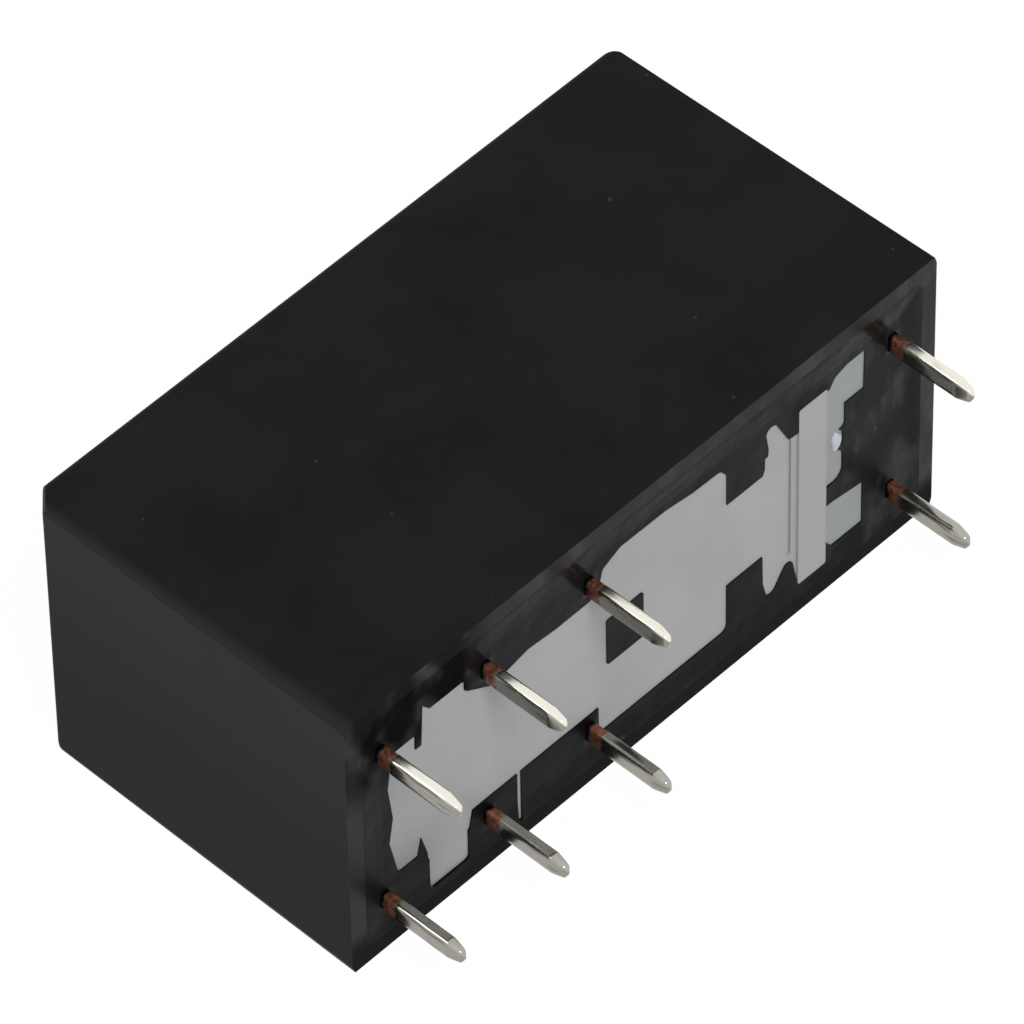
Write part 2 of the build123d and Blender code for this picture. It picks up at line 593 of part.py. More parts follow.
def core():
    """Iron core: neck riveted in the yoke, shank through the spool and pole shoe at the armature."""
    shape = turned(NECK_RADIUS, YOKE_X, YOKE_X + YOKE_THICKNESS)
    shape += turned(CORE_RADIUS, YOKE_X + YOKE_THICKNESS, SPOOL_END)
    shoe = turned(SHOE_RADIUS, SPOOL_END, YOKE_END_X)
    shape += chamfer(shoe.edges().group_by(Axis.X)[-1], 0.12)
    return at_coil(shape)


def yoke():
    """Bent iron yoke: upright leg behind the coil and a leg under it that ends at the armature."""
    top = FLANGE_TOP - 0.6
    bent = outline((YOKE_X, YOKE_BOTTOM), (YOKE_END_X, YOKE_BOTTOM), (YOKE_END_X, YOKE_TOP),
                   (YOKE_X + YOKE_THICKNESS, YOKE_TOP), (YOKE_X + YOKE_THICKNESS, top), (YOKE_X, top))
    bent = fillet(bent.vertices().sort_by_distance((YOKE_X, YOKE_BOTTOM, 0))[0], YOKE_BEND)
    half = YOKE_LEG_WIDTH / 2
    shape = across(bent, -half, half)
    for side in (-1, 1):
        leg = both(side, YOKE_WIDTH / 2, YOKE_LEG_WIDTH)
        shape -= block((YOKE_X + 2 * YOKE_THICKNESS, CASE_LENGTH), (0, YOKE_TOP + 0.1), leg)
        end = both(side, YOKE_END_WIDTH / 2, YOKE_LEG_WIDTH)
        shape -= block((SPOOL_END - FAR_FLANGE - 0.3, CASE_LENGTH), (0, YOKE_TOP + 0.1), end)
    return shape - at_coil(turned(NECK_RADIUS, YOKE_X, YOKE_X + YOKE_THICKNESS))


def armature():
    """Iron armature with a narrow tab for the card, tilted open on the yoke's edge."""
    half = ARMATURE_WIDTH / 2
    tab = TAB_WIDTH / 2
    shoulder = CARD_BOTTOM - 0.2
    corner = half - ARMATURE_SHOULDER
    start = shoulder - ARMATURE_SHOULDER
    plate = outline((-half, PIVOT_Y), (half, PIVOT_Y), (half, start), (corner, shoulder), (tab, shoulder),
                    (tab, LEAF_TOP), (-tab, LEAF_TOP), (-tab, shoulder), (-corner, shoulder), (-half, start))
    closed = lengthways(plate, PIVOT_X, PIVOT_X + ARMATURE_THICKNESS)
    pivot = Pos(PIVOT_X, PIVOT_Y, 0)
    return pivot * Rot(0, 0, -ARMATURE_TILT) * pivot.inverse() * closed


def armature_spring():
    """Thin blade under the yoke, bent up behind the armature to keep it on the yoke's edge."""
    low = YOKE_BOTTOM - BLADE_THICKNESS
    bent = outline((BLADE_START, low), (BLADE_X + BLADE_THICKNESS, low), (BLADE_X + BLADE_THICKNESS, low + BLADE_RISE),
                   (BLADE_X, low + BLADE_RISE), (BLADE_X, YOKE_BOTTOM), (BLADE_START, YOKE_BOTTOM))
    bent = fillet(bent.vertices().sort_by_distance((BLADE_X + BLADE_THICKNESS, low, 0))[0], 2 * BLADE_THICKNESS)
    half = BLADE_WIDTH / 2
    return across(bent, -half, half)


def post_top():
    """Height at which the coil terminals end."""
    return DECK_LEVEL + BLOCK_SEAT + BLOCK_HEIGHT + POST_HEIGHT


def coil_terminal(side):
    """Pin that runs through base and bobbin and ends in a post for the wire."""
    low = DECK_LEVEL + BLOCK_SEAT + BLOCK_HEIGHT
    z = side * ROW_Z
    post = (z - POST_WIDTH / 2, z + POST_WIDTH / 2)
    return pin(COIL_X, z, low) + block((COIL_X - HALF_PIN, COIL_X + HALF_PIN), (low, post_top()), post)


def lead_z(x):
    """How far from the middle plane the winding's end runs at a position between winding and post."""
    start = SPOOL_END - FAR_FLANGE - LEAD_SETBACK
    leaving = COIL_RADIUS - LEAD_INSET
    return leaving + (ROW_Z - leaving) * (x - start) / (COIL_X - start)


def coil_lead(side):
    """End of the winding's wire, led through the flange and wrapped on its post."""
    z = side * ROW_Z
    wire_y = DECK_LEVEL + BLOCK_SEAT + BLOCK_HEIGHT + WIRE_RISE
    start_x = SPOOL_END - FAR_FLANGE - LEAD_SETBACK
    start_y = COIL_Y - sqrt(COIL_RADIUS ** 2 - (lead_z(start_x) - WIRE_RADIUS) ** 2) - WIRE_RADIUS / 4
    start_z = side * lead_z(start_x)
    end_x = COIL_X - HALF_PIN - WIRE_GAP - WIRE_RADIUS
    end_z = side * lead_z(end_x)
    path = FilletPolyline((start_x, start_y, start_z), (start_x, wire_y, start_z), (end_x, wire_y, end_z), radius=0.4)
    section = Plane(origin=(start_x, start_y, start_z), z_dir=(0, -1, 0)) * RegularPolygon(WIRE_RADIUS, 6)
    wire = sweep(section, path=path)
    inner = Rectangle(PIN_THICKNESS + 2 * WIRE_GAP, POST_WIDTH + 2 * WIRE_GAP)
    for turn in range(WIRE_TURNS):
        reach = 2 * (WIRE_GAP + 2 * WIRE_RADIUS + WIRE_GAP * (turn % 2))
        wrap = Rectangle(PIN_THICKNESS + reach, POST_WIDTH + reach) - inner
        low = wire_y + (turn - WIRE_TURNS / 2) * 2 * WIRE_RADIUS
        wire += upright(Pos(COIL_X, z) * wrap, low, low + 2 * WIRE_RADIUS)
    return wire


PIECES = {
    "cover": cover(),
    "base": base(),
    "sealing_resin": sealing_resin(),
    "bobbin": bobbin(),
    "coil_winding": coil_winding(),
    "core": core(),
    "yoke": yoke(),
    "armature": armature(),
    "armature_spring": armature_spring(),
    "actuator_card": actuator_card(),
}
for name, side in (("left", 1), ("right", -1)):
    PIECES["common_terminal_" + name] = common_terminal(side)
    PIECES["nc_terminal_" + name] = nc_terminal(side)
    PIECES["no_terminal_" + name] = no_terminal(side)
    PIECES["coil_terminal_" + name] = coil_terminal(side)
    PIECES["coil_lead_" + name] = coil_lead(side)
    PIECES["contact_spring_" + name] = contact_spring(side)
    PIECES["moving_contact_" + name] = moving_contact(side)
    PIECES["nc_contact_" + name] = nc_contact(side)
    PIECES["no_contact_" + name] = no_contact(side)

ON_ITS_SIDE = Pos(-CASE_LENGTH / 2, (PIN_LENGTH - CASE_HEIGHT) / 2, CASE_WIDTH / 2)
os.makedirs("parts", exist_ok=True)
for name, piece in PIECES.items():
    export_step(ON_ITS_SIDE * piece, "parts/" + name + ".step")

print("spring swing", round(SPRING_SWING, 4), "card travel", round(CARD_TRAVEL, 5), "tilt", round(ARMATURE_TILT, 4))
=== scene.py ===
"""Finishes and fine pieces of a sealed power relay, built round its CAD model."""
import math

import bmesh
import bpy
import numpy as np
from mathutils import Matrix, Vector, noise
from mathutils.bvhtree import BVHTree
from mathutils.geometry import delaunay_2d_cdt
from mathutils.kdtree import KDTree


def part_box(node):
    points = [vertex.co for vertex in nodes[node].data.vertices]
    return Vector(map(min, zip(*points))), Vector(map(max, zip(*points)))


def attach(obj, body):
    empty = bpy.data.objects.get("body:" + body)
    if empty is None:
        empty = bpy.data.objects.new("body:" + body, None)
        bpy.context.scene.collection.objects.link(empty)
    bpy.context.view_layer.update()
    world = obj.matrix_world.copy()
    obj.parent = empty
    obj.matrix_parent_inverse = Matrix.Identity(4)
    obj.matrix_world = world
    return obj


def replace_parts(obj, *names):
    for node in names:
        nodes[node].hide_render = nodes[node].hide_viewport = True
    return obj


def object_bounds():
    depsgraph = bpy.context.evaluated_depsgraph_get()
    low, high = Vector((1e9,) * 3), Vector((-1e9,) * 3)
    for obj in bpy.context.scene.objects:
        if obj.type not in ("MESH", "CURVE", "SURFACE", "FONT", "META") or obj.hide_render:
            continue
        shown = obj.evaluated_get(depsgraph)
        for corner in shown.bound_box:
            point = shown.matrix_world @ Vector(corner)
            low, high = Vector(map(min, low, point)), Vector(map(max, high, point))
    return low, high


bl_info = {
    "name": "Sealed relay",
    "version": (1, 0, 0),
    "blender": (4, 5, 0),
    "location": "View3D > Sidebar > Relay",
    "description": "Gives a sealed power relay its finishes, its resin pool and its studio",
    "category": "Object",
}

MM = 0.001
SIDES = ("left", "right")
TERMINALS = [kind + "_terminal_" + side for kind in ("common", "nc", "no", "coil") for side in SIDES]
INTO_CASE = Vector((0.0, 1.0, 0.0))

# How close points and levels lie that count as the same, in metres.
SAME_POINT = 1e-6
SAME_LEVEL = 2e-6
SAME_PLAN = 1e-8

# Where masks start and where they are full, in metres along the named axis: X runs from the near end to the
# far end, Y from the pins into the case and Z up. The first three are counted from a face of the case.
END_FACE_X = (0.0006, 0.0002)
RIM_FACE_Y = (0.00003, 0.00001)
FAR_CORNER_SHEEN_X = (-0.008, -0.002)
END_REFLECTION_Z = (0.003, 0.0125)
FILM_Z = (0.0008, 0.0020)
BLOTCHES_X = (-0.0070, -0.0092)
BLOTCHES_Z = (0.0075, 0.0100)
BAR_X = (0.0064, 0.0079)
BEYOND_BAR_X = (0.0088, 0.0092)
LOW_CORNER_X = (-0.0085, -0.0125)
LOW_CORNER_Z = (0.0062, 0.0024)
UPPER_RESIN_SHEEN_Z = (0.0030, 0.0085)
UPPER_ROW_Z = (0.0060, 0.0064)

# Colours of marks and of painted reflections, of the glue and of the pieces inside.
END_PAINTED_REFLECTION = (0.0105, 0.0105, 0.0110)
FILM_AND_SHEEN_BLACK = (0.021, 0.021, 0.023)
SCUFF_GREY = (0.035, 0.035, 0.035)
CASE_DUST = (0.07, 0.065, 0.055)
BASE_DUST = (0.16, 0.15, 0.13)
RESIN_DUST = (0.14, 0.13, 0.11)
RESIN_SWIRL_AND_SHEEN = (0.062, 0.063, 0.067)
DULL_BLACK = (0.0008, 0.0008, 0.0008)
COLLAR_BLACK = (0.004, 0.004, 0.004)
TARNISH_AND_STREAK_BROWN = (0.13, 0.105, 0.078)
GLUE_WHITE = (0.50, 0.52, 0.56)
IRON_GREY = (0.50, 0.49, 0.46)
STEEL_GREY = (0.55, 0.54, 0.52)
WIRE_COPPER = (0.62, 0.24, 0.10)
SPRING_COPPER = (0.70, 0.38, 0.20)
CONTACT_SILVER = (0.80, 0.79, 0.75)
BOBBIN_CREAM = (0.72, 0.70, 0.64)
CARD_CREAM = (0.78, 0.75, 0.66)

# What the channels of the base's grey are multiplied by on its cross bar and beyond it.
BAR_TONE = (1.01, 1.0, 0.975)
BEYOND_TONE = (0.805, 0.84, 0.84)

# The winding: one turn's pitch in metres, and a wave texture's scale for bands one metre apart.
WIRE_PITCH = 0.00032
WAVE_BAND = 6.2832 / 20

# The resin pool, in millimetres. An outline shorter than PIN_OUTLINE runs round a pin. A reach is how far an
# edge still moves the surface, and LIFT_RANGE is how far away edges are looked for.
PIN_OUTLINE = 3.5
RIM_REACH = 0.6
PIN_REACH = 0.2
MOULDING_REACH = 0.26
LIFT_RANGE = 0.9
BESIDE_EDGE = 0.04
LEVEL_WITH = 0.15
DEEPEST_STEP = 0.03
RIPPLE_HEIGHT = 0.018
RIPPLE_START = 0.4

# The resin pool: the share of a pin's outline left open inside the drawn pin, the steps between the outlines
# and the grid, the power by which an edge's lift dies away, and the ripples' scale.
PIN_HOLE = 0.6
GRID_GAP = 0.55
LIFT_POWER = 1.7
RIPPLES = 420

# The drawn pins, in millimetres. They start PIN_START inside the case, and the tin comes COAT_START before
# the copper ends and thickens over COAT_RUN. INNER_DEPTH stands for all of a terminal that isn't redrawn.
PIN_START = 0.3
PIN_TIP = 0.65
PIN_NOSE = 0.13
COAT_START = 0.05
COAT_RUN = 0.12
INNER_DEPTH = -1.0

# The drawn pins, in shares of their size: the tin's part, what the tip loses in thickness and in width, how
# far the nose closes, and how uneven the tin is.
COAT = 0.045
TIP_THINS = 0.45
TIP_NARROWS = 0.40
NOSE_CLOSES = 0.86
UNEVEN = 0.03

# The drawn pins' points, and the powers that square a circle and bend the tip's taper.
SECTION_POINTS = 72
SHAFT_RINGS = 36
TIP_RINGS = 16
SECTION_POWER = 0.42
TIP_POWER = 1.15

# The noise of the uneven tin, and what keeps one pin's pattern apart from the next one's.
UNEVEN_SCALE = 1.7
UNEVEN_ROUND = 0.9
UNEVEN_DOWN = 1.1
UNEVEN_APART = 3.7
PLACE_APART = 1.37

# The glue drop: its middle and how deep it sits in millimetres, its width and height in shares of its
# radius, and its points. Rays to the base start at BELOW_PINS, in metres.
DROP_X = 9.52
DROP_Z = 7.1
DROP_SUNK = 0.02
DROP_WIDTH = 0.53
DROP_HEIGHT = 0.4
DROP_ROUNDS = 28
DROP_LEVELS = 9
BELOW_PINS = -0.01

# The studio: the floor's half side in metres and how much it glows, the lamps by name, place, power and
# size, and a camera that was fitted to the photo, with its lens in millimetres and its turn in degrees.
FLOOR_HALF = 3.0
FLOOR_GLOW = 0.985
ROOM_LIGHT = (0.42, 0.43, 0.45)
WHITE = (1.0, 1.0, 1.0)
LAMPS = (("key", (-0.25, -0.50, 0.84), 7.4, 0.42), ("fill", (-0.74, 0.40, 0.46), 2.6, 0.6))
SENSOR_WIDTH = 36.0
LENS = 378.78
NEAREST = 0.01
FARTHEST = 20.0
CAMERA_PLACE = (-0.172619, -0.169004, 0.280420)
CAMERA_TURN = (41.46594, 0.77124, -46.37380)

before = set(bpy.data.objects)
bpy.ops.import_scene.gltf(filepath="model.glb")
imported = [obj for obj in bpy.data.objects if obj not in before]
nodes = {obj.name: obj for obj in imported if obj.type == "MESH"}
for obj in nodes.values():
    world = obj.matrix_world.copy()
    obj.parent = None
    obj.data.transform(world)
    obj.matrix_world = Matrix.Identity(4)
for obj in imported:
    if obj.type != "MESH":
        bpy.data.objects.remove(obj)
cad_low, cad_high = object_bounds()


class RelaySizes(bpy.types.PropertyGroup):
    """Sizes of what is built round the CAD model."""

    pool_step: bpy.props.FloatProperty(
        name="Pool step", description="Distance between the points of the resin's surface",
        default=0.00012, unit="LENGTH", precision=5)
    rim_climb: bpy.props.FloatProperty(
        name="Rim climb", description="How far the resin creeps up the case's wall",
        default=0.000066, unit="LENGTH", precision=6)
    pin_climb: bpy.props.FloatProperty(
        name="Pin climb", description="How far the resin creeps up each pin",
        default=0.00006, unit="LENGTH", precision=5)
    copper_length: bpy.props.FloatProperty(
        name="Copper length", description="Bare copper on each pin below the seating plane",
        default=0.00064, unit="LENGTH", precision=5)
    drop_radius: bpy.props.FloatProperty(
        name="Drop radius", description="Radius of the drop of milky glue on the boss",
        default=0.00045, unit="LENGTH", precision=5)


class RelayFinishes(bpy.types.PropertyGroup):
    """Colours of the relay's finishes."""

    case_colour: bpy.props.FloatVectorProperty(
        name="Case", description="Moulded black plastic", subtype="COLOR",
        default=(0.0020, 0.0019, 0.0018))
    base_colour: bpy.props.FloatVectorProperty(
        name="Base", description="Moulded grey plastic", subtype="COLOR",
        default=(0.325, 0.327, 0.326))
    resin_colour: bpy.props.FloatVectorProperty(
        name="Resin", description="Black sealing resin", subtype="COLOR",
        default=(0.0030, 0.0030, 0.0033))
    tin_colour: bpy.props.FloatVectorProperty(
        name="Tin", description="Tin plating on the pins", subtype="COLOR",
        default=(0.43, 0.42, 0.37))
    copper_colour: bpy.props.FloatVectorProperty(
        name="Copper", description="Bare copper at the pins' roots", subtype="COLOR",
        default=(0.33, 0.125, 0.075))


class Shade:
    """A socket of a node tree that Python's operators work on."""

    def __init__(self, maker, socket):
        self.maker = maker
        self.socket = socket

    def __add__(self, other):
        return self.maker.math("ADD", self, other)

    def __radd__(self, other):
        return self.maker.math("ADD", other, self)

    def __sub__(self, other):
        return self.maker.math("SUBTRACT", self, other)

    def __rsub__(self, other):
        return self.maker.math("SUBTRACT", other, self)

    def __mul__(self, other):
        return self.maker.math("MULTIPLY", self, other)

    def __rmul__(self, other):
        return self.maker.math("MULTIPLY", other, self)

    def other(self, name):
        """Another output of the node that this value comes from."""
        return Shade(self.maker, self.socket.node.outputs[name])

    def clipped(self):
        """The value held between 0 and 1."""
        return self.maker.add("ShaderNodeClamp", {}, {"Value": self, "Min": 0.0, "Max": 1.0})

    def eased(self, low, high):
        """Runs smoothly from 0 to 1 as the value goes from low to high."""
        return self.maker.add("ShaderNodeMapRange", {"interpolation_type": "SMOOTHSTEP"}, {
            "Value": self, "From Min": low, "From Max": high})


class Nodes:
    """Adds shader nodes to one tree."""

    def __init__(self, tree):
        self.tree = tree
        tree.nodes.clear()

    def add(self, kind, settings, inputs, output=0):
        """Adds a node: its settings first, then its sockets' values and links. Returns the chosen output."""
        node = self.tree.nodes.new(kind)
        for name, value in settings.items():
            setattr(node, name, value)
        for name, value in inputs.items():
            socket = node.inputs[name]
            if isinstance(value, Shade):
                self.tree.links.new(value.socket, socket)
            elif socket.type == "RGBA":
                socket.default_value = (*value, 1.0)
            else:
                socket.default_value = value
        return None if output is None else Shade(self, node.outputs[output])

    def math(self, operation, *terms):
        """Adds a Math node that works on values and numbers."""
        return self.add("ShaderNodeMath", {"operation": operation}, dict(enumerate(terms)))

    def mixed(self, factor, first, second):
        """Mixes two shaders by a value."""
        return self.add("ShaderNodeMixShader", {}, {0: factor, 1: first, 2: second})

    def seen_straight(self):
        """1 for what the eye, gloss or clear material sees, and 0 for light that falls on other things."""
        eye = self.add("ShaderNodeLightPath", {}, {}, "Is Camera Ray")
        return (eye + eye.other("Is Glossy Ray") + eye.other("Is Transmission Ray")).clipped()


class Finish(Nodes):
    """One procedural material."""

    def __init__(self, name):
        self.material = bpy.data.materials.new(name)
        self.material.use_nodes = True
        super().__init__(self.material.node_tree)
        self.place = self.add("ShaderNodeTexCoord", {}, {}, "Object")

    def noise(self, size, detail=3.0, roughness=0.5, stretch=None, shift=0.0):
        """Soft noise with patches of a size in metres, about 0 to 1, drawn out along an axis where asked."""
        place = self.place
        if stretch or shift:
            place = self.add("ShaderNodeMapping", {}, {
                "Vector": place, "Location": (shift, shift, shift), "Scale": stretch or (1.0, 1.0, 1.0)})
        return self.add("ShaderNodeTexNoise", {}, {
            "Vector": place, "Scale": 1.0 / size, "Detail": detail, "Roughness": roughness})

    def drawn(self, place, scale, detail):
        """Noise over a place of its own, with a scale along each axis."""
        at = self.add("ShaderNodeMapping", {}, {"Vector": place, "Scale": scale})
        return self.add("ShaderNodeTexNoise", {}, {
            "Vector": at, "Scale": 1.0, "Detail": detail, "Roughness": 0.55})

    def specks(self, size, share, shift=0.0):
        """Round specks: 1 in their middle and 0 outside, on a share of the cells of a size in metres."""
        place = self.add("ShaderNodeMapping", {}, {"Vector": self.place, "Location": (shift, shift, shift)})
        cells = self.add("ShaderNodeTexVoronoi", {}, {"Vector": place, "Scale": 1.0 / size})
        chance = self.add("ShaderNodeSeparateColor", {}, {"Color": cells.other("Color")}, "Red")
        return cells.eased(0.22, 0.10) * self.math("GREATER_THAN", chance, 1.0 - share)

    def rising(self, axis, places, origin=0.0):
        """A mask that goes from 0 to 1 between two places along X, Y or Z, counted from an origin."""
        along = self.add("ShaderNodeSeparateXYZ", {}, {"Vector": self.place}, axis)
        return along.eased(origin + places[0], origin + places[1])

    def blotches(self):
        """Dull black blotches that the resin left round the upper corner at the near end."""
        spot = self.noise(0.0015, 1.5, 0.45, stretch=(1.0, 1.0, 0.8), shift=0.17).eased(0.36, 0.56)
        return spot * self.rising("X", BLOTCHES_X) * self.rising("Z", BLOTCHES_Z)

    def blend(self, factor, first, second):
        """Mixes two colours by a value. The Mix node's colours are its inputs 6 and 7 and its output 2."""
        return self.add("ShaderNodeMix", {"data_type": "RGBA"}, {0: factor, 6: first, 7: second}, 2)

    def bump(self, height, depth, strength, under=None):
        """A normal roughened by a height from 0 to 1 over a depth in metres, over another where asked."""
        inputs = {"Height": height, "Distance": depth, "Strength": strength}
        if under is not None:
            inputs["Normal"] = under
        return self.add("ShaderNodeBump", {}, inputs)

    def surface(self, colour, rough, normal, metallic=0.0, specular=0.5):
        """Ends the material in one Principled shader."""
        self.close(self.add("ShaderNodeBsdfPrincipled", {}, {
            "Base Color": colour, "Roughness": rough, "Normal": normal, "Metallic": metallic,
            "Specular IOR Level": specular}))

    def close(self, shader):
        """Links a shader to the material's output."""
        self.add("ShaderNodeOutputMaterial", {}, {"Surface": shader}, None)


def toned(colour, share):
    """A colour multiplied by one number, or by one for each channel."""
    shares = share if isinstance(share, tuple) else (share,) * 3
    return tuple(c * s for c, s in zip(colour, shares))


def dress(piece, finish):
    """Gives a piece one material all over."""
    piece.data.materials.clear()
    piece.data.materials.append(finish.material)
    for face in piece.data.polygons:
        face.material_index = 0


def case_plastic(colour, end, rim):
    """Matte black moulded plastic with faint mottling, dust, fine scuffs and a film of resin on its rim,
    whose lighter colour is partly a painted reflection.

    The near end, whose x is given, is painted a little paler towards its upper edge as a painted reflection,
    and the rim is at the given y.
    """
    f = Finish("case_plastic")
    cloud = f.noise(0.0045, 4.0, 0.6)
    grain = f.noise(0.00016, 3.0, 0.7)
    dust = f.specks(0.00052, 0.004) + f.specks(0.00036, 0.006, shift=0.013)
    scuff = f.noise(0.0011, 4.0, 0.65, stretch=(1.0, 6.0, 1.0), shift=0.4).eased(0.66, 0.78)
    tint = f.blend(cloud.eased(0.32, 0.68), toned(colour, 0.35), toned(colour, 2.1))
    # Painted reflection: the near end's colour is made paler towards its top.
    pale = f.rising("X", END_FACE_X, end) * f.rising("Z", END_REFLECTION_Z)
    tint = f.blend((pale * (0.7 + 0.5 * cloud)).clipped(), tint, END_PAINTED_REFLECTION)
    smear = f.noise(0.0015, 4.0, 0.6, stretch=(1.0, 1.0, 0.5), shift=0.9).eased(0.42, 0.66)
    edge = f.rising("Y", RIM_FACE_Y, rim)
    film = edge * f.rising("Z", FILM_Z) * (1.0 - f.blotches())
    # The rim's resin film is glossier, and its colour is painted lighter than the resin as a painted
    # reflection.
    tint = f.blend((film * smear).clipped(), tint, FILM_AND_SHEEN_BLACK)
    tint = f.blend((scuff * 0.10).clipped(), tint, SCUFF_GREY)
    tint = f.blend((dust * 0.30).clipped(), tint, CASE_DUST)
    rough = (0.50 + 0.12 * cloud + 0.10 * scuff + 0.06 * grain + 0.25 * edge - 0.47 * film).clipped()
    f.surface(tint, rough, f.bump(grain, 0.000012, 0.45), specular=0.113)
    return f


def base_plastic(colour):
    """Smooth grey moulded plastic with faint flow marks and dust.

    The cross bar is a little warmer than the rest. What lies beyond it is darker, and the near lower corner
    is darkened with painted shade.
    """
    f = Finish("base_plastic")
    cloud = f.noise(0.0034, 3.0, 0.5)
    flow = f.noise(0.0012, 3.0, 0.6, stretch=(1.0, 1.0, 0.35), shift=0.2)
    grain = f.noise(0.00014, 2.0, 0.6)
    dust = f.specks(0.0016, 0.05, shift=0.3)
    # Painted shade: the near lower corner is darkened.
    painted_shade_corner = f.rising("X", LOW_CORNER_X) * f.rising("Z", LOW_CORNER_Z)
    tint = f.blend(cloud.eased(0.3, 0.7), toned(colour, 0.93), toned(colour, 1.04))
    tint = f.blend(f.rising("X", BAR_X) * 0.8, tint, toned(colour, BAR_TONE))
    tint = f.blend(f.rising("X", BEYOND_BAR_X), tint, toned(colour, BEYOND_TONE))
    tint = f.blend(painted_shade_corner * 0.9, tint, toned(colour, 0.50))
    tint = f.blend(flow.eased(0.55, 0.8) * 0.25, tint, toned(colour, 0.84))
    tint = f.blend((dust * 0.5).clipped(), tint, BASE_DUST)
    rough = (0.42 + 0.14 * cloud + 0.05 * grain).clipped()
    f.surface(tint, rough, f.bump(grain, 0.000008, 0.35, f.bump(flow, 0.00005, 0.25)), specular=0.4)
    return f


def sealing_black(colour, far):
    """Glossy black resin with a wavy skin, pale swirls where it set dull, and dust. It is painted lighter
    towards the top, and its swirls are painted stronger towards the far corner, both as painted reflections.
    """
    f = Finish("sealing_black")
    wave = f.noise(0.0016, 2.0, 0.45)
    haze = f.noise(0.0024, 4.0, 0.6, shift=0.7).eased(0.45, 0.72)
    swirl = f.noise(0.0013, 3.0, 0.55, stretch=(1.0, 1.0, 0.45), shift=0.31).eased(0.46, 0.7)
    corner = f.rising("X", FAR_CORNER_SHEEN_X, far)
    dust = f.specks(0.0013, 0.05, shift=0.1) + f.specks(0.0005, 0.02, shift=0.23)
    upper = f.rising("Z", UPPER_RESIN_SHEEN_Z)
    dull = f.blotches()
    # Painted sheen: the resin's colour is made lighter towards the top.
    tint = f.blend(upper, colour, toned(colour, 2.2))
    tint = f.blend(haze * 0.5, tint, toned(colour, 3.0))
    # Pale swirls, a random pattern, are made stronger towards the far corner as a painted reflection.
    tint = f.blend((swirl * (0.12 + 0.88 * corner) * 0.42).clipped(), tint, RESIN_SWIRL_AND_SHEEN)
    tint = f.blend((dust * 0.35).clipped(), tint, RESIN_DUST)
    tint = f.blend(dull, tint, DULL_BLACK)
    rough = (0.16 + 0.14 * haze + 0.3 * dust + 0.22 * (1.0 - upper) + 0.6 * dull).clipped()
    f.surface(tint, rough, f.bump(wave, 0.00012, 0.5), specular=0.035)
    return f


def tinned_pin(tin, copper, copper_length):
    """Hot-tinned copper strip: a collar of resin, bare copper, then tin that ran along the pin in streaks.
    The tin has a painted dark reflection along its ridge, painted shade past the ridge and a painted
    highlight on the upper row's top faces.

    Each pin's mesh carries pin_place: the way round the section from the ridge beside its top face and the
    depth below the case, both in millimetres, and a number of its own.
    """
    f = Finish("tinned_pin")
    own = f.add("ShaderNodeAttribute", {"attribute_name": "pin_place"}, {}, "Vector")
    round_it = f.add("ShaderNodeSeparateXYZ", {}, {"Vector": own}, "X")
    depth = round_it.other("Y")
    ragged = f.noise(0.00030, 2.0, 0.5, shift=0.05)
    end = copper_length / MM
    bare = (depth + (ragged - 0.5) * 0.5).eased(end + 0.09, end - 0.06)
    run = f.drawn(own, (4.2, 0.42, 5.3), 3.0)
    fine = f.drawn(own, (11.0, 1.4, 3.1), 2.0)
    patch = f.drawn(own, (1.7, 0.8, 2.3), 2.0)
    wander = (f.drawn(own, (0.3, 0.7, 9.1), 1.0) - 0.5) * 0.5
    # Painted reflection: a dark streak along the ridge beside the top face, mixed into the tarnish.
    band = f.math("ABSOLUTE", round_it + wander - 0.04).eased(0.11, 0.02)
    painted_dark_streak = band * depth.eased(0.8, 1.3) * depth.eased(3.25, 2.7)
    tarnish_and_dark_streak = (run.eased(0.55, 0.68) * patch.eased(0.4, 0.6) * 0.7 + painted_dark_streak * 0.8).clipped()
    tin_tone_and_light = f.blend(fine, toned(tin, 0.88), toned(tin, 1.1))
    # Painted shade: the tin past the ridge, on the side away from the top face, is darker.
    tin_tone_and_light = f.blend(round_it.eased(0.04, 0.14), tin_tone_and_light, toned(tin, 0.72))
    # Painted highlight: the top faces of the upper row's pins are painted brighter, with less tarnish.
    painted_highlight = round_it.eased(0.05, -0.03) * round_it.eased(-0.5, -0.42) * f.rising("Z", UPPER_ROW_Z)
    tin_tone_and_light = f.blend(painted_highlight, tin_tone_and_light, toned(tin, 2.0))
    plated = f.blend(tarnish_and_dark_streak * (1.0 - 0.7 * painted_highlight), tin_tone_and_light, TARNISH_AND_STREAK_BROWN)
    stain = f.noise(0.0002, 3.0, 0.6, shift=0.9).eased(0.35, 0.7)
    tint = f.blend(bare, plated, f.blend(stain, copper, toned(copper, 0.3)))
    collar = (depth + (ragged - 0.5) * 0.35).eased(0.19, 0.07) * depth.eased(-0.6, -0.4)
    tint = f.blend(collar, tint, COLLAR_BLACK)
    rough = (0.14 + 0.2 * bare + 0.06 * patch + 0.12 * tarnish_and_dark_streak + 0.3 * collar).clipped()
    metallic = (1.0 - 0.25 * bare * (1.0 - collar)).clipped()
    f.surface(tint, rough, f.bump(run, 0.00003, 0.22, f.bump(fine, 0.00001, 0.12)), metallic)
    return f


def milky_glue(colour):
    """Glossy whitish glue."""
    f = Finish("milky_glue")
    cloud = f.noise(0.0001, 3.0, 0.6)
    rough = (0.08 + 0.1 * cloud).clipped()
    f.surface(f.blend(cloud, toned(colour, 0.75), colour), rough, f.bump(cloud, 0.00002, 0.4))
    return f


